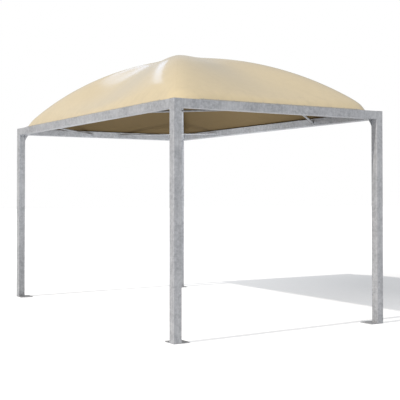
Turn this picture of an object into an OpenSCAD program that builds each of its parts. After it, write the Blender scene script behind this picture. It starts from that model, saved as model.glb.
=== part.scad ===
// Open garden gazebo: a galvanised frame of square tube on four posts, two
// crossing arches along the diagonals, and one domed membrane over them.
// Right is +X, back is +Y. The origin is the middle of the plan, on the floor.

/* [Frame] */
// Length of the frame over the posts' outer faces
frame_l = 5000; // [3600:100:6000]
// Width of the frame over the posts' outer faces
frame_w = 3000; // [2400:100:4000]
// Height of the frame's top above the floor
frame_h = 2640; // [2200:20:3200]

/* [Tube] */
// Side of the square tube of posts, beams and arches
tube_w = 100; // [80:5:120]
// Wall of the square tube
tube_t = 4; // [3:0.5:6]
// Outside radius of the tube's edges
tube_r = 8; // [6.5:0.5:12]
// Thickness of the cap on each post
cap_t = 5; // [3:1:8]
// Diameter of the vent hole in each inner face of a post
vent_d = 16; // [8:1:20]

/* [Base plates] */
// Side of the square base plate
plate_w = 200; // [170:10:260]
// Thickness of the base plate
plate_t = 10; // [8:1:16]
// Diameter of the anchor holes
anchor_d = 18; // [12:1:22]
// Distance from an anchor hole to the plate's inner edges
anchor_in = 50; // [25:5:60]
// Radius of the base plate's corners
plate_r = 6; // [3:1:15]

/* [Knee plates] */
// Length of a knee plate along the beam
knee_l = 60; // [40:5:120]
// Length of a knee plate down the post
knee_h = 95; // [60:5:160]
// Thickness of a knee plate
knee_t = 8; // [5:1:12]
// Depth of the hollow in a knee plate's free edge
knee_hollow = 6; // [2:1:12]

/* [Corner braces] */
// Distance between the ends of two braces on a shorter beam
brace_room = 500; // [200:20:1600]
// Diameter of the brace rod
brace_d = 26; // [16:2:40]
// Side of the square pad that joins the brace to the beam
brace_pad = 60; // [45:5:80]
// Thickness of that pad
brace_pad_t = 6; // [4:1:10]

/* [Arches] */
// Rise of the roof's ridge above the frame's top
arch_rise = 865; // [600:5:1100]
// Distance from the frame's corner to where the ridge line meets the frame's top
ridge_in = 125; // [100:5:200]
// Room on the hub's face beside the corner between two arches
hub_rim = 13; // [5:1:40]
// Wall of the hub
hub_t = 8; // [5:1:12]
// Slope of the cut that takes the arch's top down to the frame's top
bevel_a = 45; // [40:1:50]

/* [Membrane] */
// Thickness of the membrane
skin_t = 4; // [2:0.5:6]
// Distance from the frame's outer face to the line where the membrane rises
rise_in = 55; // [45:5:80]
// Width of the flat margin outside that line
margin_w = 35; // [30:1:40]
// Corner radius of the membrane's outline
corner_r = 300; // [200:10:450]
// Steepness of the membrane at its rim
rim_slope = 1.7; // [1.2:0.1:2.5]
// Height over which the rim turns into the dome
rim_blend = 45; // [20:5:80]
// Roundness of the ridges, as a share of the half span
ridge_blend = 0.12; // [0.08:0.01:0.2]
// Depth of the hollow between the ridges over the long sides
sag_long = 150; // [0:10:200]
// Depth of the hollow between the ridges over the short sides
sag_short = 100; // [0:10:150]
// Room between the membrane and the upper edges of an arch
arch_room = 14; // [10:1:30]
// Room between the membrane and the cut that ends an arch
foot_room = 8; // [7:0.5:15]
// Rings of facets from the crown to the rim
rings = 18; // [12:1:20]
// Facets round a quarter of the membrane, a multiple of two
facets = 20; // [12:2:24]

/* [Edge bars] */
// Width of the bars that clamp the membrane's margin
bar_w = 25; // [20:1:28]
// Thickness of those bars
bar_t = 5; // [4:1:8]

/* [Hidden] */
STEEL = [0.64, 0.65, 0.66];
CLOTH = [0.89, 0.84, 0.73];
$fn = 48;
seat = 0.3;                              // clearance under a soft piece
half_l = frame_l / 2;
half_w = frame_w / 2;
beam_z = frame_h - tube_w;               // underside of the beams
diagonal = norm([half_l, half_w]);
diagonal_a = atan(half_w / half_l);
ridge_half = diagonal - ridge_in;        // half span of the ridge line
ridge_r = (pow(ridge_half, 2) + pow(arch_rise, 2)) / (2 * arch_rise);
ridge_z = frame_h + arch_rise - ridge_r; // height of the arches' centre
rise_l = half_l - rise_in;
rise_w = half_w - rise_in;
hub_r = tube_w / 2 / sin(min(diagonal_a, 90 - diagonal_a)) + hub_rim;
brace_leg = (min(frame_l, frame_w) - brace_room) / 2;
vent_drop = 12 + vent_d / 2;             // vent's centre below the beams
reach = 4 * tube_w;                      // longer than any cut is deep
scan = 5;                                // step along an arch when its cut is placed

// ---- Roof's form ----

// Height of the ridge line above the frame's top, at a share t of its half span
function ridge_h(t) = sqrt(pow(ridge_r, 2) - pow(t * ridge_half, 2)) - ridge_r + arch_rise;

// Height of the dome above the margin, two crossing ridges with hollows between them
function dome_h(x, y) =
    let (u = abs(x) / (half_l * ridge_half / diagonal),
        v = abs(y) / (half_w * ridge_half / diagonal),
        t = (u + v + sqrt(pow(u - v, 2) + pow(ridge_blend, 2)) - ridge_blend) / 2,
        off_ridge = abs(u - v) / max(u, v, ridge_blend / 100),
        hollow = 27 / 4 * t * t * (1 - t) * pow(off_ridge, 2) * (3 - 2 * off_ridge))
    ridge_h(t) - hollow * (u > v ? sag_short : sag_long);

// Distance of a point from the membrane's outline, inwards
function inward(x, y) =
    let (qx = abs(x) - rise_l + corner_r, qy = abs(y) - rise_w + corner_r)
    corner_r - norm([max(qx, 0), max(qy, 0)]) - min(max(qx, qy), 0);

// Smooth lower bound of two heights
function smooth_min(a, b, k) = (a + b - sqrt(pow(a - b, 2) + k * k)) / 2;

// Height of the membrane above its margin
function roof_h(x, y) = max(0, smooth_min(dome_h(x, y), rim_slope * inward(x, y), rim_blend));

// Height of the membrane over an arch's upper edges, at the lower one, a distance d from the middle
function edge_h(d) =
    let (x = d * cos(diagonal_a), y = d * sin(diagonal_a),
        dx = tube_w / 2 * sin(diagonal_a), dy = tube_w / 2 * cos(diagonal_a))
    min(roof_h(x - dx, y + dy), roof_h(x + dx, y - dy));

// Height of an arch's top face above the frame's top, at a distance d from the middle
function arch_h(d) = ridge_z - frame_h + sqrt(pow(arch_r, 2) - pow(d, 2));

// Depth of the arch's top face below the ridge line
saddle = arch_room + max([for (t = [0.1:0.1:0.8]) ridge_h(t) - edge_h(t * ridge_half)]);
arch_r = ridge_r - saddle;               // radius of an arch's top face
// Distance from the middle at which the cut on an arch meets the frame's top
foot = min([for (d = [ridge_half / 2:scan:diagonal])
    let (h = edge_h(d) - foot_room) if (arch_h(d) > h) d + h / tan(bevel_a)]);

// ---- Shared shapes ----

// Draws a piece made at the back right corner at the corner on sides sx and sy
module at_corner(sx, sy) {
    if (sx > 0 && sy > 0) children();
    else if (sx < 0 && sy < 0) rotate(180) children();
    else if (sx < 0) mirror([1, 0, 0]) children();
    else mirror([0, 1, 0]) children();
}

// Square with round corners, as a union so that its corners stay true arcs
module round_square(w, r) {
    square([w - 2 * r, w], center = true);
    square([w, w - 2 * r], center = true);
    for (x = [-1, 1], y = [-1, 1])
        translate([x * (w / 2 - r), y * (w / 2 - r)]) circle(r);
}

module tube_profile() {
    difference() {
        round_square(tube_w, tube_r);
        round_square(tube_w - 2 * tube_t, tube_r - tube_t);
    }
}

// ---- Posts ----

module post(sx, sy) {
    color(STEEL) at_corner(sx, sy) difference() {
        translate([half_l - tube_w / 2, half_w - tube_w / 2, plate_t])
            linear_extrude(frame_h - cap_t - plate_t) tube_profile();
        // a vent in each inner face, just under the beam
        translate([half_l - tube_w, half_w - tube_w * 0.35, beam_z - vent_drop])
            rotate([0, 90, 0]) cylinder(d = vent_d, h = 2 * tube_t, center = true);
        translate([half_l - tube_w * 0.35, half_w - tube_w, beam_z - vent_drop])
            rotate([90, 0, 0]) cylinder(d = vent_d, h = 2 * tube_t, center = true);
    }
}

module post_cap(sx, sy) {
    color(STEEL) at_corner(sx, sy)
        translate([half_l - tube_w / 2, half_w - tube_w / 2, frame_h - cap_t])
            linear_extrude(cap_t) round_square(tube_w, tube_r);
}

// Base plate, flush with the post's two outer faces
module base_plate(sx, sy) {
    hole = plate_w / 2 - anchor_in;
    color(STEEL) at_corner(sx, sy)
        translate([half_l - plate_w / 2, half_w - plate_w / 2, 0]) linear_extrude(plate_t)
            difference() {
                round_square(plate_w, plate_r);
                for (p = [[-1, -1], [-1, 1], [1, -1]]) translate(hole * p) circle(d = anchor_d);
            }
}

// ---- Beams ----

// Beam between two posts, over the long side
module long_beam(sy) {
    color(STEEL) translate([0, sy * (half_w - tube_w / 2), frame_h - tube_w / 2])
        rotate([90, 0, 90]) linear_extrude(frame_l - 2 * tube_w, center = true) tube_profile();
}

// Beam between two posts, over the short side
module short_beam(sx) {
    color(STEEL) translate([sx * (half_l - tube_w / 2), 0, frame_h - tube_w / 2])
        rotate([90, 0, 0]) linear_extrude(frame_w - 2 * tube_w, center = true) tube_profile();
}

// Triangle with a hollow free edge; its right angle is at the origin, below the beam
module knee_outline() {
    edge = norm([knee_l, knee_h]);
    r = pow(edge, 2) / (8 * knee_hollow) + knee_hollow / 2;
    out = r - knee_hollow;
    difference() {
        polygon([[0, 0], [-knee_l, 0], [0, -knee_h]]);
        translate([-knee_l / 2 - out * knee_h / edge, -knee_h / 2 - out * knee_l / edge])
            circle(r, $fn = 96);
    }
}

// Knee plate in the plane of the beam over the long side
module long_knee(sx, sy) {
    color(STEEL) at_corner(sx, sy)
        translate([half_l - tube_w, half_w - tube_w + tube_r + knee_t, beam_z])
            rotate([90, 0, 0]) linear_extrude(knee_t) knee_outline();
}

// Knee plate in the plane of the beam over the short side
module short_knee(sx, sy) {
    color(STEEL) at_corner(sx, sy)
        translate([half_l - tube_w + tube_r, half_w - tube_w, beam_z])
            rotate([90, 0, 90]) linear_extrude(knee_t) knee_outline();
}

// ---- Corner braces ----

// Level rod across a corner, with a pad on each beam's inner face
module brace(sx, sy) {
    leg = brace_leg - tube_w;
    inner_l = half_l - tube_w;
    inner_w = half_w - tube_w;
    color(STEEL) at_corner(sx, sy) translate([inner_l, inner_w, frame_h - tube_w / 2]) {
        intersection() {
            translate([-leg, 0, 0]) rotate([0, 90, -45])
                cylinder(d = brace_d, h = 2 * leg * sqrt(2), center = true);
            translate([-leg - brace_pad, -leg - brace_pad, -brace_pad / 2])
                cube([leg + brace_pad - brace_pad_t, leg + brace_pad - brace_pad_t, brace_pad]);
        }
        translate([-leg - brace_pad / 2, -brace_pad_t, -brace_pad / 2])
            cube([brace_pad, brace_pad_t, brace_pad]);
        translate([-brace_pad_t, -leg - brace_pad / 2, -brace_pad / 2])
            cube([brace_pad_t, brace_pad, brace_pad]);
    }
}

// ---- Arches ----

// Sweep of a profile along the arch, from the crown out to the frame's corner, in the XZ plane
module arch_sweep() {
    sweep = asin(diagonal / (arch_r - tube_w / 2));
    translate([0, 0, ridge_z]) rotate([90, 0, 0]) rotate(90 - sweep)
        rotate_extrude(angle = sweep, $fn = 360) translate([arch_r - tube_w / 2, 0]) children();
}

// What is cut from the arch's top so that the membrane can come down to the beams
module arch_bevel(top) {
    high = reach + tube_w;
    rotate([90, 0, 0]) linear_extrude(2 * tube_w, center = true)
        polygon([[foot, top], [diagonal + reach, top],
            [diagonal + reach, top + high], [foot - high / tan(bevel_a), top + high]]);
}

// Arch half in the direction a, with every face but the one at the hub moved in by a distance
module arch_body(a, in) {
    inner = [frame_l - 2 * (tube_w + in), frame_w - 2 * (tube_w + in)];
    intersection() {
        rotate(a) difference() {
            arch_sweep() round_square(tube_w - 2 * in, tube_r - in);
            arch_bevel(frame_h - seat - in);
            translate([0, 0, frame_h]) cylinder(r = hub_r - in / 2, h = 2 * arch_rise, $fn = 96);
        }
        translate([-inner[0] / 2, -inner[1] / 2, beam_z + in])
            cube([inner[0], inner[1], 2 * arch_rise]);
    }
}

// Hollow arch half; its foot is closed and fits into the corner of two beams
module arch(sx, sy) {
    a = atan2(sy * half_w, sx * half_l);
    color(STEEL) difference() {
        arch_body(a, 0);
        arch_body(a, tube_t);
    }
}

// Closed drum that the four arch halves butt against
module crown_hub() {
    drop = arch_r - sqrt(pow(arch_r, 2) - pow(hub_r + tube_w / 2, 2));
    color(STEEL) translate([0, 0, frame_h + arch_rise - saddle - drop - tube_w]) difference() {
        cylinder(r = hub_r, h = tube_w, $fn = 96);
        translate([0, 0, hub_t]) cylinder(r = hub_r - hub_t, h = tube_w - 2 * hub_t, $fn = 96);
    }
}

// ---- Membrane ----

// Length of the ray at angle a from the middle to a round-cornered outline
function outline(a, l, w, r) =
    let (c = abs(cos(a)), s = abs(sin(a)), on_end = l * s <= (w - r) * c, on_side = w * c <= (l - r) * s,
        along = (l - r) * c + (w - r) * s,
        far = pow(l - r, 2) + pow(w - r, 2) - r * r)
    on_end ? l / c : on_side ? w / s : along + sqrt(max(0, pow(along, 2) - far));

// Angle of facet k in a quarter, with facets drawn together at the ridge
function quarter_a(k) =
    let (h = facets / 2)
    k < h ? diagonal_a * (1 - pow(1 - k / h, 1.4))
    : diagonal_a + (90 - diagonal_a) * pow((k - h) / h, 1.4);

rays = [for (q = [0:3], k = [0:facets - 1])
    q % 2 == 0 ? 90 * q + quarter_a(k) : 90 * (q + 1) - quarter_a(facets - k)];

// One ring of points, a share f of the way out; the last ring is the margin's edge
function ring_points(i) = [for (a = rays)
    let (m = i > rings ? margin_w : 0,
        f = sin(90 * min(i, rings) / rings),
        d = f * outline(a, rise_l + m, rise_w + m, corner_r + m),
        x = d * cos(a), y = d * sin(a))
    [x, y, i < rings ? roof_h(x, y) : 0]];

module roof_membrane() {
    n = len(rays);
    skin = [[0, 0, roof_h(0, 0)], for (i = [1:rings + 1]) each ring_points(i)];
    count = len(skin);
    base = frame_h + seat;
    points = [for (p = skin) p + [0, 0, base + skin_t], for (p = skin) p + [0, 0, base]];
    crown = [for (j = [0:n - 1]) [0, 1 + j, 1 + (j + 1) % n]];
    bands = [for (i = [0:rings - 1], j = [0:n - 1])
        let (a = 1 + i * n + j, b = 1 + i * n + (j + 1) % n)
        each [[a, a + n, b + n], [a, b + n, b]]];
    top = concat(crown, bands);
    edge = [for (j = [0:n - 1])
        let (a = 1 + rings * n + j, b = 1 + rings * n + (j + 1) % n)
        each [[a, a + count, b + count], [a, b + count, b]]];
    faces = concat(
        [for (f = top) [f[2], f[1], f[0]]],
        [for (f = top) [f[0] + count, f[1] + count, f[2] + count]],
        [for (f = edge) [f[2], f[1], f[0]]]);
    color(CLOTH) polyhedron(points, faces);
}

// ---- Edge bars ----

// Flat bar on the membrane's margin along a straight edge of the given length
module edge_bar(length) {
    translate([-length / 2, -bar_w / 2, frame_h + 2 * seat + skin_t]) cube([length, bar_w, bar_t]);
}

module long_edge_bar(sy) {
    color(STEEL) translate([0, sy * (rise_w + margin_w / 2), 0]) edge_bar(2 * (rise_l - corner_r));
}

module short_edge_bar(sx) {
    color(STEEL) translate([sx * (rise_l + margin_w / 2), 0, 0]) rotate(90)
        edge_bar(2 * (rise_w - corner_r));
}

post(-1, -1);  // post_front_left
post(1, -1);  // post_front_right
post(-1, 1);  // post_back_left
post(1, 1);  // post_back_right
post_cap(-1, -1);  // post_cap_front_left
post_cap(1, -1);  // post_cap_front_right
post_cap(-1, 1);  // post_cap_back_left
post_cap(1, 1);  // post_cap_back_right
base_plate(-1, -1);  // base_plate_front_left
base_plate(1, -1);  // base_plate_front_right
base_plate(-1, 1);  // base_plate_back_left
base_plate(1, 1);  // base_plate_back_right
long_beam(-1);  // beam_front
long_beam(1);  // beam_back
short_beam(-1);  // beam_left
short_beam(1);  // beam_right
long_knee(-1, -1);  // knee_front_left_long
long_knee(1, -1);  // knee_front_right_long
long_knee(-1, 1);  // knee_back_left_long
long_knee(1, 1);  // knee_back_right_long
short_knee(-1, -1);  // knee_front_left_short
short_knee(1, -1);  // knee_front_right_short
short_knee(-1, 1);  // knee_back_left_short
short_knee(1, 1);  // knee_back_right_short
brace(-1, -1);  // brace_front_left
brace(1, -1);  // brace_front_right
brace(-1, 1);  // brace_back_left
brace(1, 1);  // brace_back_right
arch(-1, -1);  // arch_front_left
arch(1, -1);  // arch_front_right
arch(-1, 1);  // arch_back_left
arch(1, 1);  // arch_back_right
crown_hub();
roof_membrane();
long_edge_bar(-1);  // edge_bar_front
long_edge_bar(1);  // edge_bar_back
short_edge_bar(-1);  // edge_bar_left
short_edge_bar(1);  // edge_bar_right
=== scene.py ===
"""Looks of an open garden gazebo: zinc-coated steel, its welds and a taut cloth roof."""

import math

import bmesh
import bpy
import numpy as np
from bpy.props import FloatProperty, FloatVectorProperty, PointerProperty
from mathutils import Matrix, Quaternion, Vector


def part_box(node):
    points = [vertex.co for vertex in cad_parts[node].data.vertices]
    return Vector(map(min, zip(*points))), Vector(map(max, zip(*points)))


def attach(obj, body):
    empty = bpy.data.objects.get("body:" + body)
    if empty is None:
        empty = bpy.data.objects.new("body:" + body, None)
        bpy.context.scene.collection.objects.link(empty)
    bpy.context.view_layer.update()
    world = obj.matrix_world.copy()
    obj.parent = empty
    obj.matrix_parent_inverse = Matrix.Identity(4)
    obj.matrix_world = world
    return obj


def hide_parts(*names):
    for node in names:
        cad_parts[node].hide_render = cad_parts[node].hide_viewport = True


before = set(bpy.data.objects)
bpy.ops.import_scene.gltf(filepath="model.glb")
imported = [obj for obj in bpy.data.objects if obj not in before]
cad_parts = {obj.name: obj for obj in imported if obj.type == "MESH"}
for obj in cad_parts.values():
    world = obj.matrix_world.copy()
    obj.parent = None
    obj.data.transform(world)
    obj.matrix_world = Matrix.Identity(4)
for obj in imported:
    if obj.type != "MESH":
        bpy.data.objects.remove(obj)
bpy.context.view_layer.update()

bl_info = {
    "name": "Membrane Gazebo",
    "version": (1, 0, 0),
    "blender": (4, 5, 0),
    "location": "View3D > Sidebar > Gazebo",
    "description": "Finishes, roof cloth, fixings and stage for an open steel gazebo",
    "category": "Add Mesh",
}

# ---- Places taken from the construction, all at the back right corner ----

POST_LOW, POST_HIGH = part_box("post_back_right")
BRACE_LOW, BRACE_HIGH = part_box("brace_back_right")
UNDER, TOP = (corner.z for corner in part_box("beam_back"))
PLATE_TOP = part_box("base_plate_back_right")[1].z
SKIN_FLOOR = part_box("roof_membrane")[0].z
SKIN = 0.004  # thickness of the plain solid that the cloth stands for
HALF_L, HALF_W = POST_HIGH.x, POST_HIGH.y
TUBE = POST_HIGH.x - POST_LOW.x
TUBE_EDGE = 0.008  # radius of the tubes' rounded edges
CORNERS = (
    ("front_left", -1, -1),
    ("front_right", 1, -1),
    ("back_left", -1, 1),
    ("back_right", 1, 1),
)
TUBES = ("post_front", "post_back", "beam", "arch", "crown_hub")
PLATES = ("post_cap", "base_plate", "knee")

# ---- Fixed values ----

CLOTH_SMOOTH, SCREW_SMOOTH, WELD_SMOOTH = 50, 30, 60  # shading angles in degrees
THREAD = 0.0018  # distance of two threads in the weave
AROUND, RINGS = 420, 60  # the cloth's points round the rim, and from rim to crown
MAP_STEPS = (250, 150)  # steps in which the cloth's slopes are measured

SUN_AIM = (-0.066, 0.841, -0.537)
SUN_COLOUR = (1, 0.955, 0.895)
SUN_WIDTH = math.radians(1)
SKY_COLOUR = (0.95, 0.97, 1)
WHITE = (1, 1, 1)
FLOOR_BOUNCE = (0.74, 0.78, 0.84)  # colour that the floor throws back on the gazebo
PAINTED_SHADE_CENTRE = (-0.3, 5.8, 0)  # middle of the pool of painted shade, round the roof's shadow on the floor
PAINTED_SHADE_REACH = (1.6, 5.8)  # distances from it between which the floor's glow rises out of the painted shade
FLOOR_SIZE, FLOOR_DROP = 160, 0.0005  # the drop keeps the floor clear of the plates
PANELS = (
    dict(
        name="high_panel", power="fill", place=(46, 4, 40), target=(0, 0, 2),
        size=(34, 34), colour=(0.97, 0.98, 1),
    ),
    dict(
        name="far_panel", power="sheen", place=(-54, 16, 22), target=(0, 0, 3),
        size=(40, 22), colour=(1, 0.94, 0.8),
    ),
    dict(
        name="inner_panel", power="inner", place=(2, -1.2, 1), target=(-2.2, 1.55, 2.75),
        size=(1.6, 0.8), colour=(0.88, 0.94, 1), spread=1.5,
    ),
    dict(
        name="glint_panel", power="glint", place=(-11.35, 2.31, 9.1), target=(0, 0, 3.2),
        size=(5.6, 0.7), colour=(0.48, 0.66, 1), roll=0.565,
    ),
)


# ---- Settings ----


class GazeboClothSettings(bpy.types.PropertyGroup):
    crown_rise: FloatProperty(
        name="Crown rise", description="Height of the crown above the frame's top",
        default=0.865, min=0.6, max=1.1, unit="LENGTH",
    )
    ridge_inset: FloatProperty(
        name="Ridge inset",
        description="Distance from the frame's corner to the ridge line's foot",
        default=0.125, unit="LENGTH",
    )
    long_hollow: FloatProperty(
        name="Hollow over the long sides",
        description="Depth of the hollow between the ridges over the long sides",
        default=0.15, unit="LENGTH",
    )
    short_hollow: FloatProperty(
        name="Hollow over the short sides",
        description="Depth of the hollow between the ridges over the short sides",
        default=0.1, unit="LENGTH",
    )
    ridge_round: FloatProperty(
        name="Ridge roundness",
        description="Roundness of the ridges, as a share of the half span",
        default=0.12, min=0.05, max=0.3,
    )
    rim_slope: FloatProperty(
        name="Rim slope", description="Steepness of the cloth at its rim", default=1.7
    )
    rim_round: FloatProperty(
        name="Rim roundness", description="Height over which the rim turns into the dome",
        default=0.045, unit="LENGTH",
    )
    corner_radius: FloatProperty(
        name="Corner radius", description="Radius of the rim line's corners",
        default=0.3, unit="LENGTH",
    )
    rise_inset: FloatProperty(
        name="Rim inset", description="Distance from the frame's outside to the rim line",
        default=0.055, unit="LENGTH",
    )
    margin: FloatProperty(
        name="Clamped margin", description="Width of the flat margin outside the rim line",
        default=0.035, unit="LENGTH",
    )
    thickness: FloatProperty(
        name="Cloth thickness", description="Thickness of the coated cloth",
        default=0.0012, unit="LENGTH",
    )
    seam_width: FloatProperty(
        name="Seam width", description="Width of the welded overlap along each ridge",
        default=0.04, unit="LENGTH",
    )
    pucker: FloatProperty(
        name="Pucker", description="Height of the small waves between two screws",
        default=0.0004, unit="LENGTH",
    )
    stretch: FloatProperty(
        name="Stretch", description="Share by which the cloth is stretched when put up",
        default=0.01, subtype="FACTOR",
    )
    colour: FloatVectorProperty(
        name="Cloth colour", description="Colour of the coating",
        default=(0.728, 0.603, 0.39), min=0, max=1, subtype="COLOR",
    )
    # painted shade: the face that looks down gets the cloth's colour as it looks in the
    # roof's shade
    painted_shade_inside_colour: FloatVectorProperty(
        name="Inside colour", description="Colour of the matte face that looks down",
        default=(0.165, 0.113, 0.053), min=0, max=1, subtype="COLOR",
    )


class GazeboSteelSettings(bpy.types.PropertyGroup):
    bright: FloatVectorProperty(
        name="Bright zinc", description="Colour of the bright crystals",
        default=(0.6, 0.602, 0.614), min=0, max=1, subtype="COLOR",
    )
    dull: FloatVectorProperty(
        name="Dull zinc", description="Colour of the dull crystals",
        default=(0.275, 0.278, 0.29), min=0, max=1, subtype="COLOR",
    )
    bloom: FloatVectorProperty(
        name="Bloom", description="Colour of the pale chalky patches",
        default=(0.59, 0.592, 0.597), min=0, max=1, subtype="COLOR",
    )
    crystal: FloatProperty(
        name="Crystal size", description="Mean width of one zinc crystal",
        default=0.014, unit="LENGTH",
    )


class GazeboFixingSettings(bpy.types.PropertyGroup):
    bead: FloatProperty(
        name="Weld radius", description="Radius of a weld bead",
        default=0.0042, unit="LENGTH",
    )
    ripple: FloatProperty(
        name="Ripple pitch", description="Distance between two ripples of a weld",
        default=0.008, unit="LENGTH",
    )
    screw_pitch: FloatProperty(
        name="Screw pitch", description="Distance between two screws of a clamping bar",
        default=0.2, unit="LENGTH",
    )
    screw_head: FloatProperty(
        name="Screw head", description="Width of a screw's head over its corners",
        default=0.0115, unit="LENGTH",
    )


class GazeboStageSettings(bpy.types.PropertyGroup):
    eye: FloatVectorProperty(
        name="Camera place", description="Where the camera stands",
        default=(10.4035, -6.0083, 1.5939), subtype="TRANSLATION", unit="LENGTH",
    )
    turn: FloatProperty(
        name="Camera turn", description="Angle of the view from the long axis",
        default=0.5245, subtype="ANGLE",
    )
    tilt: FloatProperty(
        name="Camera tilt", description="Angle of the view above the horizon",
        default=0.0165, subtype="ANGLE",
    )
    lens: FloatProperty(
        name="Lens", description="Focal length in millimetres", default=76.57
    )
    shift: FloatVectorProperty(
        name="Lens shift", description="Shift of the lens across and up",
        default=(0.0524, -0.0474), size=2,
    )
    sun: FloatProperty(name="Sun", description="Strength of the key light", default=2.13)
    sky: FloatProperty(
        name="Sky", description="Strength of the light from all round", default=0.5
    )
    fill: FloatProperty(
        name="Fill", description="Watts of the high soft panel", default=5400.0
    )
    sheen: FloatProperty(
        name="Sheen", description="Watts of the far panel that lights the cloth's gloss",
        default=320.0,
    )
    inner: FloatProperty(
        name="Inner panel", description="Watts of the panel that fills the roof's shade",
        default=43.0,
    )
    glint: FloatProperty(
        name="Glint", description="Watts of the narrow panel that shines along the cloth",
        default=13.5,
    )
    # painted shade: the floor's own glow is kept low round the roof's shadow, darkening it
    # far off and fading it near the camera
    painted_shade_glow: FloatProperty(
        name="Shade glow",
        description="Light that the floor shows by itself where the roof's shadow falls",
        default=0.04,
    )
    open_glow: FloatProperty(
        name="Open glow",
        description="The same on the open floor, so that it reads as white",
        default=0.34,
    )


SETTINGS = (
    ("gazebo_cloth", GazeboClothSettings),
    ("gazebo_steel", GazeboSteelSettings),
    ("gazebo_fixings", GazeboFixingSettings),
    ("gazebo_stage", GazeboStageSettings),
)


# ---- Modelling helpers ----


def object_mode():
    if bpy.context.mode != "OBJECT":
        bpy.ops.object.mode_set(mode="OBJECT")


def edit_mode():
    bpy.ops.object.mode_set(mode="EDIT")


def deselect():
    object_mode()
    bpy.ops.object.select_all(action="DESELECT")


def make_active(piece):
    deselect()
    piece.select_set(True)
    bpy.context.view_layer.objects.active = piece


def select_where(kind, test):
    """In edit mode, selects the faces (FACE) or points (VERT) that pass the test."""
    bpy.ops.mesh.select_mode(type=kind)
    bpy.ops.mesh.select_all(action="DESELECT")
    data = bpy.context.active_object.data
    mesh = bmesh.from_edit_mesh(data)
    parts = mesh.faces if kind == "FACE" else mesh.verts
    found = [part for part in parts if test(part)]
    if not found:
        raise RuntimeError(f"no {kind} passes the test")
    for part in found:
        part.select_set(True)
    mesh.select_flush_mode()
    bmesh.update_edit_mesh(data)


def extrude(*move):
    bpy.ops.mesh.extrude_region_move(TRANSFORM_OT_translate={"value": move})


def face_outwards():
    """In edit mode, points every face outwards, and leaves edit mode."""
    bpy.ops.mesh.select_all(action="SELECT")
    bpy.ops.mesh.normals_make_consistent(inside=False)
    object_mode()


def apply_place():
    bpy.ops.object.transform_apply(location=True, rotation=True, scale=True)


def name_it(name):
    """Names the active piece and leaves it in object mode at the origin."""
    object_mode()
    piece = bpy.context.active_object
    piece.name = piece.data.name = name
    apply_place()
    return piece


def link_in(piece):
    bpy.context.scene.collection.objects.link(piece)
    return piece


def place_copy(piece, name, matrix):
    """A copy with its own mesh, moved there within its mesh."""
    copy = piece.copy()
    copy.data = piece.data.copy()
    copy.name = copy.data.name = name
    copy.data.transform(matrix)
    if matrix.determinant() < 0:
        copy.data.flip_normals()
    return link_in(copy)


def join_as(name, pieces):
    """Makes one piece of several, in their order."""
    deselect()
    for piece in pieces:
        piece.select_set(True)
    bpy.context.view_layer.objects.active = pieces[0]
    bpy.ops.object.join()
    joined = bpy.context.active_object
    joined.name = joined.data.name = name
    return joined


def remove(*pieces):
    for piece in pieces:
        mesh = piece.data
        bpy.data.objects.remove(piece)
        bpy.data.meshes.remove(mesh)


def apply_modifier(piece, kind, **values):
    """Gives a piece a modifier with these values and applies it at once."""
    make_active(piece)
    modifier = piece.modifiers.new(kind.title(), kind)
    for key, value in values.items():
        setattr(modifier, key, value)
    bpy.ops.object.modifier_apply(modifier=modifier.name)


def finish_piece(piece, finish, angle):
    """Shades a piece, gives it its finish if there is one, and says what it rides on."""
    make_active(piece)
    bpy.ops.object.shade_smooth_by_angle(angle=math.radians(angle))
    if finish:
        piece.data.materials.clear()
        piece.data.materials.append(finish)
    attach(piece, "root")


# ---- Node helpers ----


class NodeMaker:
    """Adds nodes to one tree. A value is a number, a colour or another node's socket."""

    def __init__(self, tree):
        self.tree = tree

    def feed(self, node, values):
        """Sets a node's sockets, by name or number, to values or links to others."""
        for key, value in dict(values).items():
            socket = node.inputs[key]
            if isinstance(value, bpy.types.NodeSocket):
                self.tree.links.new(value, socket)
            elif socket.type == "RGBA":
                socket.default_value = (*value[:3], 1.0)
            else:
                socket.default_value = value

    def add(self, kind, values=(), **settings):
        """A new node of this kind with its settings and values."""
        made = self.tree.nodes.new(f"ShaderNode{kind}")
        for key, value in settings.items():
            setattr(made, key, value)
        self.feed(made, values)
        return made

    def shared(self, name, values):
        """The outputs of a shared effect, placed with these values."""
        made = self.add("Group", node_tree=shared_effect(name))
        self.feed(made, values)
        return made.outputs

    def math(self, operation, a, b=None, clamp=False):
        values = {0: a} if b is None else {0: a, 1: b}
        return self.add("Math", values, operation=operation, use_clamp=clamp).outputs[0]

    def plus(self, a, b, clamp=False):
        return self.math("ADD", a, b, clamp)

    def times(self, a, b, clamp=False):
        return self.math("MULTIPLY", a, b, clamp)

    def weigh(self, *parts, clamp=False):
        """The sum of several values, each times its share."""
        total = None
        for part, share in parts:
            level = self.times(part, share)
            total = level if total is None else self.plus(total, level, clamp)
        return total

    def mix(self, factor, a, b):
        return self.add("Mix", {0: factor, 6: a, 7: b}, data_type="RGBA").outputs[2]

    def remap(self, value, old, new=(0.0, 1.0)):
        """The value with the range old moved to the range new, and held inside it."""
        values = dict(enumerate((value, *old, *new)))
        return self.add("MapRange", values, clamp=True).outputs[0]

    def noise(self, vector, scale, detail=3.0, rough=0.55):
        values = {"Vector": vector, "Scale": scale, "Detail": detail, "Roughness": rough}
        return self.add("TexNoise", values).outputs[0]

    def scaled(self, vector, scale):
        return self.add("Mapping", {"Vector": vector, "Scale": scale}).outputs[0]

    def split(self, vector):
        return self.add("SeparateXYZ", {0: vector}).outputs

    def bump(self, shader, height, distance, strength):
        values = {"Height": height, "Distance": distance, "Strength": strength}
        self.feed(shader, {"Normal": self.add("Bump", values).outputs[0]})


def empty_tree(owner):
    """The maker of nodes for a material or world, whose own nodes are cleared."""
    owner.use_nodes = True
    owner.node_tree.nodes.clear()
    return NodeMaker(owner.node_tree)


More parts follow.
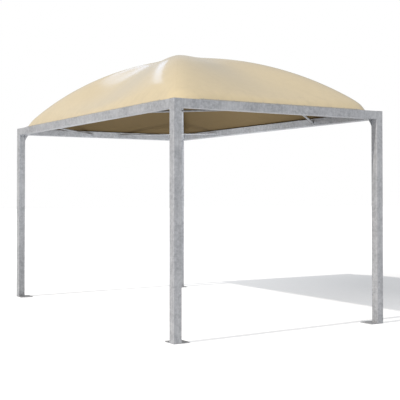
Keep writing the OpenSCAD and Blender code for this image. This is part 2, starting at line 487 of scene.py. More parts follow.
def new_group(name, inputs, outputs):
    """A node group: its inputs with their values, its outputs with their kinds."""
    tree = bpy.data.node_groups.new(name, "ShaderNodeTree")
    kinds = {type(None): "Vector", float: "Float", tuple: "Color"}
    rows = [("INPUT", label, kinds[type(value)]) for label, value in inputs.items()]
    rows += [("OUTPUT", label, kind) for label, kind in outputs.items()]
    for way, label, kind in rows:
        socket = tree.interface.new_socket(
            name=label, in_out=way, socket_type=f"NodeSocket{kind}"
        )
        if way == "INPUT" and inputs[label] is not None:
            socket.default_value = inputs[label]
    given = tree.nodes.new("NodeGroupInput").outputs
    return NodeMaker(tree), given, tree.nodes.new("NodeGroupOutput")


# ---- Shared effects ----


def zinc_group():
    """Crystals, chalky patches and run marks of a hot zinc coat."""
    make, given, result = new_group(
        "Hot zinc coat",
        {
            "Vector": None,
            "Crystal size": 0.014,
            "Bright": (0.5, 0.5, 0.5, 1),
            "Dull": (0.4, 0.4, 0.4, 1),
            "Bloom": (0.6, 0.6, 0.6, 1),
            "Bloom amount": 0.5,
            "Run marks": 0.3,
        },
        {"Color": "Color", "Roughness": "Float", "Height": "Float"},
    )
    place = given["Vector"]
    fineness = make.math("DIVIDE", 1.0, given["Crystal size"])
    bend = make.add("TexNoise", {"Vector": place, "Scale": 55.0, "Detail": 2.0})
    push = 0.012  # how far the crystals' edges are bent, in metres
    bent = make.add(
        "VectorMath",
        {0: bend.outputs["Color"], 1: (push, push, push), 2: place},
        operation="MULTIPLY_ADD",
    ).outputs[0]
    crystals = []
    for times in (1.0, 2.3):
        cells = make.add(
            "TexVoronoi",
            {"Vector": bent, "Scale": make.times(fineness, times), "Randomness": 1.0},
        ).outputs
        shade = make.add("SeparateColor", {0: cells["Color"]}).outputs[0]
        crystals.append((shade, cells["Distance"]))
    speck = make.weigh((crystals[0][0], 0.6), (crystals[1][0], 0.4))
    grain = make.noise(place, 420.0, 2.0)
    cloud = make.noise(place, 11.0, 4.0, 0.6)
    broad = make.noise(place, 2.6, 3.0, 0.5)
    blot = make.noise(place, 31.0, 3.0, 0.6)
    tone = make.times(grain, 0.12)
    for part, reach, share in (
        (speck, (0.15, 0.85), 0.26),
        (blot, (0.36, 0.64), 0.38),
        (cloud, (0.36, 0.64), 0.24),
    ):
        tone = make.plus(tone, make.remap(part, reach, (0.0, share)), True)
    colour = make.mix(tone, given["Dull"], given["Bright"])
    patch = make.times(make.remap(broad, (0.46, 0.66)), given["Bloom amount"])
    colour = make.mix(patch, colour, given["Bloom"])
    runs = make.noise(make.scaled(place, (46.0, 46.0, 1.6)), 1.0, 3.0, 0.6)
    dark = make.times(make.remap(runs, (0.5, 0.72)), given["Run marks"])
    run_colour = (0.275, 0.278, 0.29)
    rough = make.plus(make.times(speck, 0.14), 0.44)
    rough = make.plus(rough, make.times(patch, 0.16), True)
    height = make.weigh((crystals[0][1], 0.25), (grain, 0.25), (cloud, 1.2))
    make.feed(
        result,
        {"Color": make.mix(dark, colour, run_colour), "Roughness": rough, "Height": height},
    )
    return make.tree


def weave_group():
    """Height of a plain weave seen through a thick coat, on a map in metres."""
    make, given, result = new_group(
        "Coated weave",
        {"Vector": None, "Thread": THREAD},
        {"Height": "Float", "Shade": "Float"},
    )
    full_turn = 6.2832
    scale = make.math("DIVIDE", full_turn, given["Thread"])
    place = make.split(given["Vector"])
    waves = [make.math("SINE", make.times(place[axis], scale)) for axis in (0, 1)]
    fine, long = 260.0, 9.0  # uneven threads, thin across and long along
    yarns = [
        make.noise(make.scaled(given["Vector"], scale), 1.0, 2.0)
        for scale in ((fine, long, 1.0), (long, fine, 1.0))
    ]
    make.feed(result, {"Height": make.times(*waves), "Shade": make.plus(*yarns)})
    return make.tree


def dust_group():
    """Where fine dust and dried rain lie on the cloth: more near the rim."""
    make, given, result = new_group(
        "Rain and dust",
        {"Vector": None, "Rim height": TOP, "Reach": 0.25},
        {"Mask": "Float"},
    )
    up = make.math("SUBTRACT", make.split(given["Vector"])[2], given["Rim height"])
    near = make.math("SUBTRACT", 1.0, make.math("DIVIDE", up, given["Reach"]), True)
    stain = make.noise(make.scaled(given["Vector"], (9.0, 9.0, 2.2)), 1.0, 4.0, 0.6)
    fine = make.noise(given["Vector"], 38.0, 3.0)
    mask = make.times(make.plus(make.times(near, 0.7), 0.3), make.remap(stain, (0.4, 0.7)))
    mask = make.times(mask, make.remap(fine, (0.3, 0.6), (0.5, 1.0)), True)
    make.feed(result, {"Mask": mask})
    return make.tree


EFFECTS = {}


def shared_effect(name):
    """Each shared effect is built once."""
    makers = {"zinc": zinc_group, "weave": weave_group, "dust": dust_group}
    if name not in EFFECTS:
        EFFECTS[name] = makers[name]()
    return EFFECTS[name]


# ---- Finishes ----


def new_finish(name):
    """A material, the maker of its nodes, its shader and its coordinates."""
    finish = bpy.data.materials.new(name)
    make = empty_tree(finish)
    shader = make.add("BsdfPrincipled")
    make.add("OutputMaterial", {"Surface": shader.outputs[0]})
    return finish, make, shader, make.add("TexCoord").outputs


def zinc_finish(name, metal, crystal, bloom, runs, turn=0.0, shade=1.0):
    """Hot-dip zinc; turn sets the grain of one finish apart from the next."""
    steel = bpy.context.scene.gazebo_steel
    finish, make, shader, place = new_finish(name)
    angles = (turn, turn / 2, 0.0)
    turned = make.add("Mapping", {"Vector": place["Object"], "Rotation": angles})
    coat = make.shared(
        "zinc",
        {
            "Vector": turned.outputs[0],
            "Crystal size": crystal,
            "Bright": [c * shade for c in steel.bright],
            "Dull": [c * shade for c in steel.dull],
            "Bloom": [c * shade for c in steel.bloom],
            "Bloom amount": bloom,
            "Run marks": runs,
        },
    )
    make.feed(
        shader,
        {"Base Color": coat["Color"], "Roughness": coat["Roughness"], "Metallic": metal},
    )
    make.bump(shader, coat["Height"], distance=0.0006, strength=0.6)
    return finish


def bar_finish():
    """Flat bar, brushed along its length under a thin zinc coat."""
    steel = bpy.context.scene.gazebo_steel
    finish, make, shader, place = new_finish("clamping_bar_finish")
    fine = make.noise(make.scaled(place["Object"], (14.0, 14.0, 900.0)), 1.0, 3.0)
    cloud = make.noise(place["Object"], 18.0, 3.0)
    tone = make.weigh((fine, 0.5), (cloud, 0.5), clamp=True)
    make.feed(
        shader,
        {
            "Base Color": make.mix(tone, steel.dull, steel.bright),
            "Roughness": make.remap(fine, (0.3, 0.7), (0.3, 0.5)),
            "Metallic": 0.8,
        },
    )
    make.bump(shader, fine, distance=0.0002, strength=0.4)
    return finish


def screw_finish():
    """Stainless screw: bright, with turning marks and dirty patches at random."""
    finish, make, shader, place = new_finish("screw_finish")
    dirty, clean = (0.36, 0.355, 0.34), (0.62, 0.62, 0.61)
    fine = make.noise(place["Object"], 900.0, 2.0)
    cloud = make.noise(place["Object"], 120.0, 3.0)
    make.feed(
        shader,
        {
            "Base Color": make.mix(make.remap(cloud, (0.35, 0.65)), dirty, clean),
            "Roughness": make.remap(fine, (0.3, 0.7), (0.22, 0.42)),
            "Metallic": 0.9,
        },
    )
    make.bump(shader, fine, distance=0.0001, strength=0.3)
    return finish


def painted_shade_inside_finish():
    """The face that looks down, in a dark colour that is painted shade: no gloss, the
    weave's ribs, a little darker tone at random.
    """
    finish, make, shader, place = new_finish("roof_cloth_inside")
    weave = make.shared("weave", {"Vector": place["UV"], "Thread": THREAD})
    # this dark colour is painted shade, not the cloth's own colour under light
    base = tuple(bpy.context.scene.gazebo_cloth.painted_shade_inside_colour)
    deep = tuple(c * k for c, k in zip(base, (0.93, 0.92, 0.9)))
    broad = make.noise(place["Object"], 1.1, 3.0)
    tone = make.plus(
        make.remap(weave["Shade"], (0.75, 1.25), (0.0, 0.4)),
        make.remap(broad, (0.35, 0.65), (0.0, 0.6)),
        True,
    )
    make.feed(
        shader,
        {
            "Base Color": make.mix(tone, deep, base),
            "Roughness": make.remap(weave["Height"], (-1.0, 1.0), (0.75, 0.85)),
            "Specular IOR Level": 0.15,
        },
    )
    make.bump(shader, weave["Height"], distance=0.00025, strength=0.5)
    return finish


def cloth_finish(name, shade=1.0, dirt=0.25):
    """Cloth with a smooth satin coat: the weave just shows, dust lies low."""
    finish, make, shader, place = new_finish(name)
    weave = make.shared("weave", {"Vector": place["UV"], "Thread": THREAD})
    dust = make.shared("dust", {"Vector": place["Object"], "Rim height": TOP, "Reach": 0.3})
    base = tuple(c * shade for c in bpy.context.scene.gazebo_cloth.colour)
    deep = tuple(c * k for c, k in zip(base, (0.97, 0.965, 0.95)))
    dust_colour = (0.40, 0.34, 0.25)
    broad = make.noise(place["Object"], 1.4, 3.0)
    tone = make.weigh(
        (make.remap(weave["Shade"], (0.75, 1.25)), 0.45),
        (make.remap(broad, (0.35, 0.65)), 0.55),
        clamp=True,
    )
    colour = make.mix(tone, deep, base)
    cloud = make.noise(place["Object"], 6.0, 3.0)
    satin = make.remap(cloud, (0.3, 0.7), (0.14, 0.16))
    make.feed(
        shader,
        {
            "Base Color": make.mix(make.times(dust["Mask"], dirt), colour, dust_colour),
            "Roughness": make.plus(satin, make.times(dust["Mask"], 0.05), True),
            "Specular IOR Level": 0.36,
        },
    )
    height = make.weigh((weave["Height"], 0.03), (weave["Shade"], 0.01))
    make.bump(shader, height, distance=0.0002, strength=0.15)
    return finish


# ---- The roof's surface ----


def inward(x, y, cloth):
    """Distance inside the rim line, a rectangle with round corners."""
    radius = cloth.corner_radius
    across = np.abs(x) - (HALF_L - cloth.rise_inset) + radius
    along = np.abs(y) - (HALF_W - cloth.rise_inset) + radius
    outside = np.hypot(np.maximum(across, 0), np.maximum(along, 0))
    return radius - outside - np.minimum(np.maximum(across, along), 0)


def smooth_min(a, b, width):
    """The lesser of two heights, with a rounded change from one to the other."""
    return (a + b - np.sqrt((a - b) ** 2 + width**2)) / 2


def dome_height(x, y, cloth):
    """Height of the cloth above the frame: two crossing ridges, hollow between them."""
    diagonal = math.hypot(HALF_L, HALF_W)
    half = diagonal - cloth.ridge_inset
    radius = (half**2 + cloth.crown_rise**2) / (2 * cloth.crown_rise)
    u = np.abs(x) / (HALF_L * half / diagonal)
    v = np.abs(y) / (HALF_W * half / diagonal)
    rounding = cloth.ridge_round
    t = (u + v + np.sqrt((u - v) ** 2 + rounding**2) - rounding) / 2
    least = rounding / 100  # keeps the crown itself from a division by nothing
    off = np.abs(u - v) / np.maximum(np.maximum(u, v), least)
    full = 27 / 4  # makes the greatest value of t * t * (1 - t) one
    hollow = full * t**2 * (1 - t) * off**2 * (3 - 2 * off)
    depth = np.where(u > v, cloth.short_hollow, cloth.long_hollow)
    ridge = np.sqrt(np.maximum(radius**2 - (t * half) ** 2, 0)) - radius
    dome = ridge + cloth.crown_rise - hollow * depth
    rim = cloth.rim_slope * inward(x, y, cloth)
    return np.maximum(0, smooth_min(dome, rim, cloth.rim_round))


def slack(x, y, cloth):
    """Small waves between the clamping screws, and the slow unevenness of taut cloth."""
    wave_start, wave_end = 0.012, 0.06  # depths from the rim over which waves come and go
    uneven, level = 0.0012, 0.4  # height of the unevenness, and the depth where it is full
    pitch = bpy.context.scene.gazebo_fixings.screw_pitch
    depth = inward(x, y, cloth)
    inside = np.maximum(depth, 0)
    fade = np.exp(-inside / wave_end) * (1 - np.exp(-inside / wave_start))
    ends = HALF_L - cloth.rise_inset - np.abs(x) < HALF_W - cloth.rise_inset - np.abs(y)
    run = np.where(ends, y, x)
    waves = cloth.pucker * fade * np.cos(2 * math.pi * run / pitch)
    # swells a metre or more apart that don't repeat within the cloth
    slow = np.sin(2.1 * x + 0.7) * np.sin(2.9 * y + 1.1) + 0.5 * np.sin(4.3 * x - 3.1 * y)
    return waves + uneven * slow * np.clip(depth / level, 0, 1)


def cloth_top(x, y, cloth):
    """Height of the cloth's upper face above the floor."""
    return SKIN_FLOOR + SKIN + dome_height(x, y, cloth) + slack(x, y, cloth)


def rim_points(cloth, grow):
    """Evenly spaced points round the rim line, moved out by grow."""
    radius = cloth.corner_radius + grow
    half = (HALF_L - cloth.rise_inset + grow, HALF_W - cloth.rise_inset + grow)
    arc = math.pi / 2 * radius
    sides = [(half[k % 2], 2 * (half[1 - k % 2] - radius)) for k in range(4)]
    total = sum(run + arc for out, run in sides)
    found = []
    for place in np.arange(AROUND) * total / AROUND:
        for quarter, (out, run) in enumerate(sides):
            if place <= run + arc:
                break
            place -= run + arc
        angle = max(place - run, 0) / radius
        x = out - radius + math.cos(angle) * radius
        y = min(place, run) - run / 2 + math.sin(angle) * radius
        for turn in range(quarter):
            x, y = -y, x
        found.append((x, y))
    return np.array(found)


def mesh_piece(name, points, faces):
    """A new piece in the scene from its points and faces."""
    mesh = bpy.data.meshes.new(name)
    mesh.from_pydata([tuple(map(float, p)) for p in points], [], faces)
    mesh.validate()
    return link_in(bpy.data.objects.new(name, mesh))


def slope_lengths(cloth):
    """The cloth's length from the middle, along its surface, over x and over y."""
    across = np.linspace(0, HALF_L, MAP_STEPS[0] + 1)
    along = np.linspace(0, HALF_W, MAP_STEPS[1] + 1)
    mesh_x, mesh_y = np.meshgrid(across, along, indexing="ij")
    height = dome_height(mesh_x, mesh_y, cloth)
    lengths = []
    for axis, grid in enumerate((mesh_x, mesh_y)):
        steps = np.hypot(np.diff(height, axis=axis), np.diff(grid, axis=axis))
        start = np.zeros_like(np.take(steps, [0], axis=axis))
        lengths.append(np.concatenate([start, np.cumsum(steps, axis=axis)], axis=axis))
    return lengths


def lay_map(piece, cloth):
    """A map in metres whose threads run up each slope, with its joins on the ridges."""
    mesh = piece.data
    co = np.zeros(len(mesh.vertices) * 3)
    mesh.vertices.foreach_get("co", co)
    co = co.reshape(-1, 3)
    half = (HALF_L, HALF_W)
    cells = [
        np.clip(np.abs(co[:, axis]) / half[axis] * steps, 0, steps).round().astype(int)
        for axis, steps in enumerate(MAP_STEPS)
    ]
    up = []
    for axis, run in enumerate(slope_lengths(cloth)):
        flat = cells[axis] * half[axis] / MAP_STEPS[axis]
        place = co[:, axis]
        up.append(np.sign(place) * (run[cells[0], cells[1]] - flat + np.abs(place)))
    layer = mesh.uv_layers.new(name="Cloth")
    ends = np.zeros(len(mesh.loops), bool)
    for face in mesh.polygons:
        end = abs(face.center.x) / HALF_L > abs(face.center.y) / HALF_W
        for corner in face.loop_indices:
            ends[corner] = end
    which = np.zeros(len(mesh.loops), int)
    mesh.loops.foreach_get("vertex_index", which)
    u = np.where(ends, up[0][which], co[which, 0])
    v = np.where(ends, co[which, 1], up[1][which])
    layer.data.foreach_set("uv", np.stack([u, v], 1).ravel())


def model_cover(cloth):
    """The whole cloth as one sheet: rings of points from the crown to the clamped edge."""
    crowding = 1.8  # above 1, the rings lie closer together towards the rim
    rim = rim_points(cloth, cloth.margin)
    shares = 1 - (np.arange(RINGS) / RINGS) ** crowding
    plan = (rim[None] * shares[:, None, None]).reshape(-1, 2)
    plan = np.concatenate([plan, [[0.0, 0.0]]])
    height = cloth_top(plan[:, 0], plan[:, 1], cloth)
    crown = RINGS * AROUND
    faces = []
    for ring in range(RINGS):
        a, b = ring * AROUND, (ring + 1) * AROUND
        for step in range(AROUND):
            ahead = (step + 1) % AROUND
            if b == crown:
                faces.append((a + step, a + ahead, crown))
            else:
                faces.append((a + step, a + ahead, b + ahead, b + step))
    cover = mesh_piece("roof_cover", np.column_stack([plan, height]), faces)
    lay_map(cover, cloth)
    cover.data.materials.append(cloth_finish("roof_cloth"))
    cover.data.materials.append(painted_shade_inside_finish())
    apply_modifier(
        cover, "SOLIDIFY", thickness=cloth.thickness, offset=-1.0, material_offset=1
    )
    return cover


def model_seam(cloth, cover, name, side, lift):
    """The welded overlap along one diagonal, from corner to corner over the crown."""
    steps, lanes = 240, 6
    foot = 0.2  # distance from the frame's corner to the seam's end
    drop = 0.02  # height from which the strip is laid down on the cover
    strip = 0.0014  # thickness of the strip
    corner = Vector((HALF_L, HALF_W * side)).normalized()
    across = Vector((-corner.y, corner.x))
    reach = math.hypot(HALF_L, HALF_W) - foot
    points, faces = [], []
    for step in range(steps + 1):
        along = corner * (reach * (2 * step / steps - 1))
        for lane in range(lanes + 1):
            at = along + across * cloth.seam_width * (lane / lanes - 0.5)
            points.append((at.x, at.y, 0.0))
    points = np.array(points)
    points[:, 2] = cloth_top(points[:, 0], points[:, 1], cloth) + drop
    wide = lanes + 1
    for step in range(steps):
        for lane in range(lanes):
            a = step * wide + lane
            faces.append((a, a + wide, a + wide + 1, a + 1))
    seam = mesh_piece(name, points, faces)
    lay_map(seam, cloth)
    make_active(seam)
    edit_mode()
    face_outwards()
    if seam.data.polygons[0].normal.z < 0:
        seam.data.flip_normals()
    apply_modifier(
        seam,
        "SHRINKWRAP",
        target=cover,
        wrap_method="PROJECT",
        use_project_z=True,
        use_negative_direction=True,
        use_positive_direction=False,
        offset=lift,
    )
    apply_modifier(seam, "SOLIDIFY", thickness=strip + lift, offset=-1.0)
    return seam


def model_hem(cloth):
    """The folded hem under the clamped margin: a band with a rope in its outer edge."""
    clear = 0.0001  # room left to the cloth above and to the frame below
    inner = -0.004  # the band's inner edge, counted from the rim line
    top = SKIN_FLOOR + SKIN - cloth.thickness - clear
    low = SKIN_FLOOR + clear
    middle, rope = (top + low) / 2, (top - low) / 2
    section = [(inner, top), (inner, low)]
    section += [
        (cloth.margin - rope + rope * math.sin(a), middle - rope * math.cos(a))
        for a in np.linspace(0, math.pi, 5)
    ]
    points, faces = [], []
    for grow, height in section:
        points += [(x, y, height) for x, y in rim_points(cloth, grow)]
    count = len(section)
    for place in range(count):
        a, b = place * AROUND, (place + 1) % count * AROUND
        for step in range(AROUND):
            ahead = (step + 1) % AROUND
            faces.append((a + step, b + step, b + ahead, a + ahead))
    hem = mesh_piece("cover_hem", points, faces)
    make_active(hem)
    edit_mode()
    face_outwards()
    lay_map(hem, cloth)
    return hem


class GAZEBO_OT_roof_cover(bpy.types.Operator):
    """Makes the taut roof cloth with its ridge seams and its hem"""

    bl_idname = "gazebo.roof_cover"
    bl_label = "Roof Cloth"

    def execute(self, context):
        cloth = context.scene.gazebo_cloth
        cover = model_cover(cloth)
        seams = [
            model_seam(cloth, cover, "cover_seam_rising", 1, lift=0.0003),
            model_seam(cloth, cover, "cover_seam_falling", -1, lift=0.0006),
        ]
        hem = model_hem(cloth)
        finish = cover.data.materials[0]
        hem_finish = cloth_finish("hem_cloth", shade=0.92, dirt=0.6)
        for piece, look in zip((cover, *seams, hem), (None, finish, finish, hem_finish)):
            finish_piece(piece, look, CLOTH_SMOOTH)
        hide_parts("roof_membrane")
        return {"FINISHED"}


# ---- Fixings ----


def start_cylinder(vertices, radius, low, high):
    """Adds a cylinder on the Z axis and selects its upper end in edit mode."""
    deselect()
    middle = (0, 0, (low + high) / 2)
    bpy.ops.mesh.primitive_cylinder_add(
        vertices=vertices, radius=radius, depth=high - low, location=middle
    )
    edit_mode()
    select_where("FACE", lambda face: face.normal.z > 0.9)


def model_screw(fixings):
    """A flanged six-sided screw head, its flange on the floor at the origin."""
    radius = fixings.screw_head / 2
    flange_top, head_foot, head_top = 0.0014, 0.0012, 0.0056
    start_cylinder(24, radius * 1.35, 0, flange_top)
    bpy.ops.mesh.bevel(offset=0.0006, segments=2, affect="EDGES")
    flange = name_it("screw_flange")
    start_cylinder(6, radius, head_foot, head_top)
    for width, rise in ((0.16, 0.0005), (0.3, -0.0003)):  # a raised rim, then a dish
        bpy.ops.mesh.inset(thickness=radius * width)
        bpy.ops.transform.translate(value=(0, 0, rise))
    return join_as("cover_screw", [flange, name_it("screw_head")])


class GAZEBO_OT_cover_screws(bpy.types.Operator):
    """Sets a row of screws along each clamping bar"""

    bl_idname = "gazebo.cover_screws"
    bl_label = "Clamping Screws"

    def execute(self, context):
        fixings = context.scene.gazebo_fixings
        end = 0.04  # distance from a bar's end to its first screw
        turn_step, flat_to_flat = 37, 60  # degrees; each head stands turned in its own way
        finish = screw_finish()
        screw = model_screw(fixings)
        for side in ("front", "back", "left", "right"):
            low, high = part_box(f"edge_bar_{side}")
            size = high - low
            axis = 0 if size.x > size.y else 1
            run = size[axis] - 2 * end
            count = max(2, round(run / fixings.screw_pitch) + 1)
            row = []
            for step in range(count):
                at = (low + high) / 2
                at[axis] = low[axis] + end + run / (count - 1) * step
                at.z = high.z
                angle = math.radians(turn_step * step % flat_to_flat)
                turned = Matrix.Translation(at) @ Matrix.Rotation(angle, 4, "Z")
                row.append(place_copy(screw, f"screw_{side}_{step}", turned))
            joined = join_as(f"cover_screws_{side}", row)
            finish_piece(joined, finish, SCREW_SMOOTH)
        remove(screw)
        return {"FINISHED"}


def model_bead(length, radius, pitch):
    """One straight weld bead along X from the origin, with a ripple every pitch."""
    tip, dip, crest = 0.55, 0.84, 1.0  # shares of the radius
    deselect()
    bpy.ops.mesh.primitive_circle_add(
        vertices=8, radius=radius * tip, fill_type="NGON", rotation=(0, math.pi / 2, 0)
    )
    apply_place()
    edit_mode()
    bpy.ops.mesh.select_mode(type="FACE")
    bpy.ops.mesh.select_all(action="SELECT")
    count = max(2, round(length / pitch)) * 2
    ahead = length / (count + 1)
    size = tip
    for step in range(count + 1):
        wanted = tip if step == count else (crest, dip)[step % 2]
        extrude(ahead, 0, 0)
        grow = wanted / size
        at = ahead * (step + 1)
        bpy.ops.transform.resize(value=(1, grow, grow), center_override=(at, 0, 0))
        size = wanted
    face_outwards()
    return name_it("weld_bead")


def model_ring(radius, thick):
    """A rippled weld ring round a rod, flat in the X-Z plane at the origin."""
    steps = 28
    ripple = (0.965, 0.8, 0.965)  # shares to which every other step is drawn in
    deselect()
    bpy.ops.mesh.primitive_torus_add(
        major_radius=radius,
        minor_radius=thick,
        major_segments=steps,
        minor_segments=8,
        rotation=(math.pi / 2, 0, 0),
    )
    apply_place()
    edit_mode()

    def in_a_dip(point):
        turn = math.atan2(point.co.z, point.co.x) % (2 * math.pi)
        return round(turn / (2 * math.pi / steps)) % 2

    select_where("VERT", in_a_dip)
    bpy.ops.transform.resize(value=ripple, center_override=(0, 0, 0))
    return name_it("weld_ring")


def model_joint_fill(low, high, depth):
    """A ground-flush weld in the round groove beside the post, its outer face at y = 0."""
    deselect()
    bpy.ops.mesh.primitive_cube_add(
        size=1,
        location=(depth / 2, -depth / 2, (low + high) / 2),
        scale=(depth, depth, high - low),
    )
    apply_place()
    edit_mode()
    bpy.ops.mesh.select_all(action="SELECT")
    bpy.ops.mesh.bisect(
        plane_co=(depth / 2, -depth / 2, low),
        plane_no=(1, -1, 0),
        clear_outer=True,
        use_fill=True,
    )
    for side in (-1, 1):
        select_where("FACE", lambda face: face.normal.z * side > 0.9)
        for back, out in ((0.13, 0.5), (0.3, 0.3)):  # the ends run out round the bend
            extrude(0, -depth * back, side * depth * out)
    face_outwards()
    return name_it("joint_fill")


def bead_from_to(bead, length, start, end, name):
    """A copy of the bead, stretched so that it runs from start to end."""
    start, end = Vector(start), Vector(end)
    run = end - start
    turn = run.to_track_quat("X", "Z").to_matrix().to_4x4()
    stretch = Matrix.Diagonal((run.length / length, 1, 1, 1))
    return place_copy(bead, name, Matrix.Translation(start) @ turn @ stretch)


def point(axis, along, across, up):
    """A point by its places along the axis (0 or 1), across it, and up."""
    return (along, across, up) if axis == 0 else (across, along, up)


def corner_bead_lines(radius):
    """Start and end of each weld at the back right corner."""
    face, outer, edge = POST_LOW, POST_HIGH, TUBE_EDGE
    flush = radius * 0.7  # how far a bead's middle lies from an edge that it closes

    def round_post(up):
        """The two lines across the post's inner faces at one height."""
        return [
            (
                point(axis, face[axis] + edge, face[1 - axis], up),
                point(axis, outer[axis] - edge, face[1 - axis], up),
            )
            for axis in (1, 0)
        ]

    def upright(x, y):
        return (x, y, UNDER + edge), (x, y, TOP - edge)

    lines = round_post(PLATE_TOP) + round_post(UNDER)
    lines += [upright(face.x, face.y + flush), upright(face.x + flush, face.y)]
    lines += round_post(TOP - flush)
    for axis, name in enumerate(("long", "short")):
        low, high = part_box(f"knee_back_right_{name}")
        for side in (low[1 - axis], high[1 - axis]):
            heel = point(axis, high[axis], side, high.z)
            lines.append((point(axis, low[axis], side, high.z), heel))
            lines.append((point(axis, high[axis], side, low.z), heel))
    low, high = BRACE_LOW, BRACE_HIGH
    pad = high.z - low.z
    for up in (low.z, high.z):
        for axis in (0, 1):
            ends = (low[axis], low[axis] + pad)
            lines.append([point(axis, end, face[1 - axis], up) for end in ends])
    for step in (0, pad):
        for axis in (0, 1):
            at = low[axis] + step
            lines.append([point(axis, at, face[1 - axis], up) for up in (low.z, high.z)])
    ahead = Vector((HALF_L, HALF_W)).normalized()
    side = Vector((-ahead.y, ahead.x)) * TUBE / 2
    for at in (
        ahead * ((face.x + side.x) / ahead.x) - side,
        ahead * ((face.y - side.y) / ahead.y) + side,
    ):
        lines.append(upright(at.x, at.y))
    return lines


class GAZEBO_OT_welds(bpy.types.Operator):
    """Lays the weld beads of each corner and of the crown"""

    bl_idname = "gazebo.welds"
    bl_label = "Welds"

    def execute(self, context):
        fixings = context.scene.gazebo_fixings
        finish = zinc_finish(
            "weld_zinc", metal=0.35, crystal=0.004, bloom=0.2, runs=0, turn=0.9, shade=0.93
        )
        bead = model_bead(TUBE, fixings.bead, fixings.ripple)
        ring = model_ring(radius=0.0145, thick=0.003)
        fill = model_joint_fill(UNDER + TUBE_EDGE, TOP - TUBE_EDGE, TUBE_EDGE)
        pad = BRACE_HIGH.z - BRACE_LOW.z
        middle = (BRACE_LOW.z + BRACE_HIGH.z) / 2
        off_post = 0.006  # the rings stand on the braces' pads
        slant = Matrix.Diagonal((1.414, 1, 1, 1))  # a rod that meets its pad at 45 degrees
        quarter = Matrix.Rotation(math.pi / 2, 4, "Z")
        swap_x_y = Matrix(((0, 1, 0, 0), (1, 0, 0, 0), (0, 0, 1, 0), (0, 0, 0, 1)))
        fills = (
            Matrix.Translation((POST_LOW.x, HALF_W, 0)),
            Matrix.Translation((HALF_L, POST_LOW.y, 0)) @ swap_x_y,
        )
        rings = (
            ((BRACE_LOW.x + pad / 2, POST_LOW.y - off_post), slant),
            ((POST_LOW.x - off_post, BRACE_LOW.y + pad / 2), quarter @ slant),
        )
        lines = corner_bead_lines(fixings.bead)
        for corner, sx, sy in CORNERS:
            flip = Matrix.Diagonal((sx, sy, 1, 1))
            parts = []
            for count, ends in enumerate(lines):
                start, end = (flip @ Vector(place) for place in ends)
                parts.append(bead_from_to(bead, TUBE, start, end, f"bead_{corner}_{count}"))
            for count, place in enumerate(fills):
                parts.append(place_copy(fill, f"fill_{corner}_{count}", flip @ place))
            for count, ((x, y), shape) in enumerate(rings):
                place = Matrix.Translation((sx * x, sy * y, middle)) @ shape
                parts.append(place_copy(ring, f"ring_{corner}_{count}", place))
            finish_piece(
                join_as(f"welds_{corner}", parts), finish, WELD_SMOOTH
            )
        self.crown(bead, finish)
        remove(bead, ring, fill)
        return {"FINISHED"}

    def crown(self, bead, finish):
        """The upright beads where the arches meet the hub."""
        low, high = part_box("crown_hub")
        end = 0.006  # distance from the hub's rims to a bead's ends
        radius = (high.x - low.x) / 2
        reach = math.sqrt(radius**2 - (TUBE / 2) ** 2)
        parts = []
        for corner, sx, sy in CORNERS:
            along = Vector((HALF_L * sx, HALF_W * sy)).normalized()
            across = Vector((-along.y, along.x)) * TUBE / 2
            for side in (-1, 1):
                at = along * reach + across * side
                ends = (at.x, at.y, low.z + end), (at.x, at.y, high.z - end)
                name = f"bead_crown_{corner}_{side}"
                parts.append(bead_from_to(bead, TUBE, *ends, name))
        finish_piece(join_as("welds_crown", parts), finish, WELD_SMOOTH)


class GAZEBO_OT_steel(bpy.types.Operator):
    """Gives each steel piece of the construction its zinc finish"""

    bl_idname = "gazebo.steel"
    bl_label = "Steel Finishes"

    def execute(self, context):
        size = context.scene.gazebo_steel.crystal
        tube = zinc_finish("tube_zinc", metal=0.4, crystal=size, bloom=0.45, runs=0.35)
        plate = zinc_finish(
            "plate_zinc", 0.4, size * 0.7, bloom=0.3, runs=0.15, turn=0.4, shade=0.92
        )
        rod = zinc_finish(
            "rod_zinc", 0.45, size * 0.45, bloom=0.35, runs=0.1, turn=1.1, shade=0.78
        )
        bar = bar_finish()
        for name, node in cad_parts.items():
            if name == "roof_membrane":
                continue
            finish = rod if name.startswith("brace") else bar
            if name.startswith(PLATES):
                finish = plate
            elif name.startswith(TUBES):
                finish = tube
            if not node.material_slots:
                node.data.materials.append(finish)
            for place in node.material_slots:
                place.material = finish
        return {"FINISHED"}


# ---- Stage ----


def seen_share(make, *kinds):
    """1 for the camera's rays and these other kinds, which show the surroundings plain."""
    path = make.add("LightPath").outputs
    seen = path["Is Camera Ray"]
    for kind in kinds:
        seen = make.plus(seen, path[f"Is {kind} Ray"], True)
    return seen


def aim_lamp(lamp, aim, roll=0.0):
    """Links a lamp in, turned so that it shines along aim."""
    holder = link_in(bpy.data.objects.new(lamp.name, lamp))
    holder.rotation_mode = "QUATERNION"
    turn = Vector(aim).to_track_quat("-Z", "Y")
    holder.rotation_quaternion = turn @ Quaternion((0, 0, 1), roll)
    return holder


def panel_light(stage, name, power, place, target, size, colour, roll=0.0, spread=math.pi):
    """A soft panel that faces its target; power names the setting that holds its watts."""
    lamp = bpy.data.lights.new(name, "AREA")
    lamp.spread = spread
    lamp.shape, lamp.size, lamp.size_y = "RECTANGLE", size[0], size[1]
    lamp.energy, lamp.color = getattr(stage, power), colour
    holder = aim_lamp(lamp, Vector(target) - Vector(place), roll)
    holder.location = place
    holder.visible_camera = False


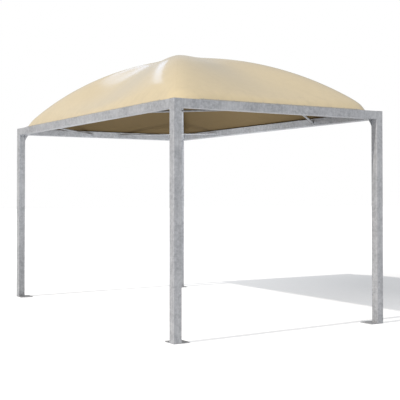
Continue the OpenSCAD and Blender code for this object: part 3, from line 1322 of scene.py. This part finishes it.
def make_floor(stage):
    """A wide pale floor that glows by itself, with little glow in a pool round the roof's
    shadow: painted shade that deepens that shadow.
    """
    deselect()
    bpy.ops.mesh.primitive_plane_add(size=FLOOR_SIZE, location=(0, 0, -FLOOR_DROP))
    floor = name_it("stage_floor")
    finish = bpy.data.materials.new("stage_floor")
    make = empty_tree(finish)
    apart = make.add(
        "VectorMath",
        {0: make.add("TexCoord").outputs["Object"], 1: PAINTED_SHADE_CENTRE},
        operation="DISTANCE",
    )
    level = make.remap(
        apart.outputs["Value"], PAINTED_SHADE_REACH, (stage.painted_shade_glow, stage.open_glow)
    )
    dim = make.add("BsdfDiffuse", {"Color": FLOOR_BOUNCE})
    pale = make.add("BsdfDiffuse", {"Color": WHITE})
    glow = make.add("Emission", {"Strength": level})
    shown = make.add("AddShader", {0: pale.outputs[0], 1: glow.outputs[0]})
    seen = seen_share(make, "Glossy", "Transmission")
    mix = make.add("MixShader", {0: seen, 1: dim.outputs[0], 2: shown.outputs[0]})
    make.add("OutputMaterial", {"Surface": mix.outputs[0]})
    floor.data.materials.append(finish)


def make_sky(strength):
    """Soft light from all round, which the camera sees as plain white."""
    world = bpy.data.worlds.new("stage_sky")
    bpy.context.scene.world = world
    make = empty_tree(world)
    light = make.add("Background", {"Color": SKY_COLOUR, "Strength": strength})
    white = make.add("Background", {"Color": WHITE, "Strength": 1.0})
    seen = seen_share(make, "Transmission")
    mix = make.add("MixShader", {0: seen, 1: light.outputs[0], 2: white.outputs[0]})
    make.add("OutputWorld", {"Surface": mix.outputs[0]})


def make_camera(stage):
    """The camera, turned and tilted from the long axis."""
    data = bpy.data.cameras.new("eye")
    eye = link_in(bpy.data.objects.new("eye", data))
    turn, tilt = stage.turn, stage.tilt
    flat = math.cos(tilt)
    ahead = (-math.cos(turn) * flat, math.sin(turn) * flat, math.sin(tilt))
    eye.location = stage.eye
    eye.rotation_mode = "QUATERNION"
    eye.rotation_quaternion = Vector(ahead).to_track_quat("-Z", "Y")
    data.lens = stage.lens
    data.shift_x, data.shift_y = stage.shift
    data.clip_end = 500
    bpy.context.scene.camera = eye


class GAZEBO_OT_stage(bpy.types.Operator):
    """Sets up the floor, the lamps, the pale surroundings and the camera"""

    bl_idname = "gazebo.stage"
    bl_label = "Stage"

    def execute(self, context):
        stage = context.scene.gazebo_stage
        context.scene.view_settings.view_transform = "Standard"
        make_floor(stage)
        make_sky(stage.sky)
        sun = bpy.data.lights.new("sun", "SUN")
        sun.energy, sun.angle, sun.color = stage.sun, SUN_WIDTH, SUN_COLOUR
        aim_lamp(sun, SUN_AIM)
        for panel in PANELS:
            panel_light(stage, **panel)
        make_camera(stage)
        return {"FINISHED"}


class GAZEBO_PT_panel(bpy.types.Panel):
    """Lists the gazebo's pieces and their settings"""

    bl_idname = "GAZEBO_PT_panel"
    bl_label = "Gazebo"
    bl_space_type = "VIEW_3D"
    bl_region_type = "UI"
    bl_category = "Gazebo"

    def draw(self, context):
        for name, settings in SETTINGS:
            box = self.layout.box()
            for key in settings.__annotations__:
                box.prop(getattr(context.scene, name), key)
        for operator in OPERATORS:
            self.layout.operator(operator.bl_idname)


OPERATORS = (
    GAZEBO_OT_stage,
    GAZEBO_OT_steel,
    GAZEBO_OT_roof_cover,
    GAZEBO_OT_cover_screws,
    GAZEBO_OT_welds,
)
CLASSES = tuple(settings for name, settings in SETTINGS) + OPERATORS + (GAZEBO_PT_panel,)


def register():
    for entry in CLASSES:
        bpy.utils.register_class(entry)
    for name, settings in SETTINGS:
        setattr(bpy.types.Scene, name, PointerProperty(type=settings))


def unregister():
    for name, settings in SETTINGS:
        delattr(bpy.types.Scene, name)
    for entry in reversed(CLASSES):
        bpy.utils.unregister_class(entry)


def main():
    register()
    bpy.ops.gazebo.stage()
    bpy.ops.gazebo.steel()
    bpy.ops.gazebo.roof_cover()
    bpy.ops.gazebo.cover_screws()
    bpy.ops.gazebo.welds()


if __name__ == "__main__":
    main()
